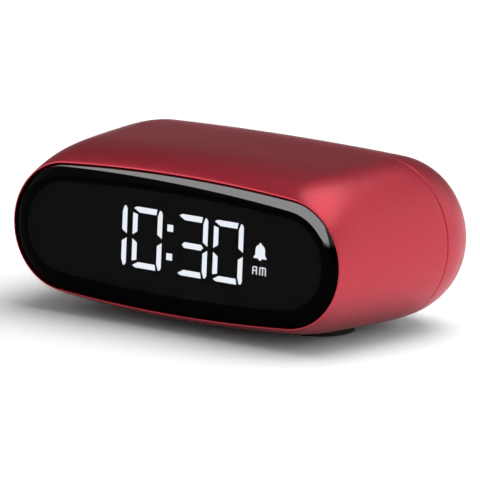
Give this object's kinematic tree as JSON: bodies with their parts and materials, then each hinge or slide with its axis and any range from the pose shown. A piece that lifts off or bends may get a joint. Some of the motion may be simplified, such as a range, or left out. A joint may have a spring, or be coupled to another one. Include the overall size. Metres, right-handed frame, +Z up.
{
  "type": "led alarm clock",
  "caption": "Compact oval desk alarm clock with a smoked front lens, a segment display, and a back panel with push buttons, a slide switch and a charging socket.",
  "frame": {"origin": "middle of the rubber foot's underside, on the surface that the clock stands on", "axes": "+X to the right seen from the front, +Y to the back, +Z up"},
  "size_m": [0.0994, 0.055, 0.0401],
  "materials": {
    "red_shell": "satin metallic lacquer",
    "smoked_lens": "polished smoked acrylic",
    "black_foam": "matt foam",
    "black_plastic": "fine matt",
    "light_pipe": "milky cast resin",
    "led_chip": "white package",
    "board": "solder mask on glass laminate",
    "chip": "moulded epoxy",
    "socket": "moulded nylon",
    "cable": "flexible insulation",
    "metal_can": "plated can",
    "steel": "plated sheet",
    "switch_body": "moulded",
    "cell_wrap": "laminated pouch",
    "copper": "thin foil",
    "rubber": "matt"
  },
  "bodies": {
    "case": {"front_shell": "red_shell", "rear_cover": "red_shell", "front_lens": "smoked_lens", "lens_gasket": "black_foam", "display_reflector": "black_plastic", "digit_1": "light_pipe", "digit_2": "light_pipe", "digit_3": "light_pipe", "digit_4": "light_pipe", "colon_dots": "light_pipe", "bell_light": "light_pipe", "am_light": "light_pipe", "display_leds": "led_chip", "display_board": "board", "driver_chip": "chip", "display_socket": "socket", "ribbon_cable": "cable", "control_socket": "socket", "control_board": "board", "controller_chip": "chip", "clock_crystal": "metal_can", "tact_switches": "switch_body", "slide_switch": "switch_body", "sounder": "chip", "sounder_gasket": "black_foam", "usb_socket": "steel", "battery_cell": "cell_wrap", "battery_tape": "black_foam", "battery_leads": "cable", "battery_plug": "socket", "touch_foil": "copper", "touch_lead": "copper", "rubber_foot": "rubber"},
    "time_button": {"time_button": "black_plastic"},
    "alarm_button": {"alarm_button": "black_plastic"},
    "minus_button": {"minus_button": "black_plastic"},
    "plus_button": {"plus_button": "black_plastic"},
    "slide_knob": {"slide_knob": "black_plastic"}
  },
  "joints": [
    {"name": "time_button_press", "type": "slide", "parent": "case", "child": "time_button", "axis": [0, -1, 0], "range_m": [0, 0.0003], "stiffness_N_per_m": 800, "springref_m": -0.001},
    {"name": "alarm_button_press", "type": "slide", "parent": "case", "child": "alarm_button", "axis": [0, -1, 0], "range_m": [0, 0.0003], "stiffness_N_per_m": 800, "springref_m": -0.001},
    {"name": "minus_button_press", "type": "slide", "parent": "case", "child": "minus_button", "axis": [0, -1, 0], "range_m": [0, 0.0003], "stiffness_N_per_m": 800, "springref_m": -0.001},
    {"name": "plus_button_press", "type": "slide", "parent": "case", "child": "plus_button", "axis": [0, -1, 0], "range_m": [0, 0.0003], "stiffness_N_per_m": 800, "springref_m": -0.001},
    {"name": "alarm_switch_slide", "type": "slide", "parent": "case", "child": "slide_knob", "axis": [1, 0, 0], "range_m": [0, 0.002]}
  ]
}
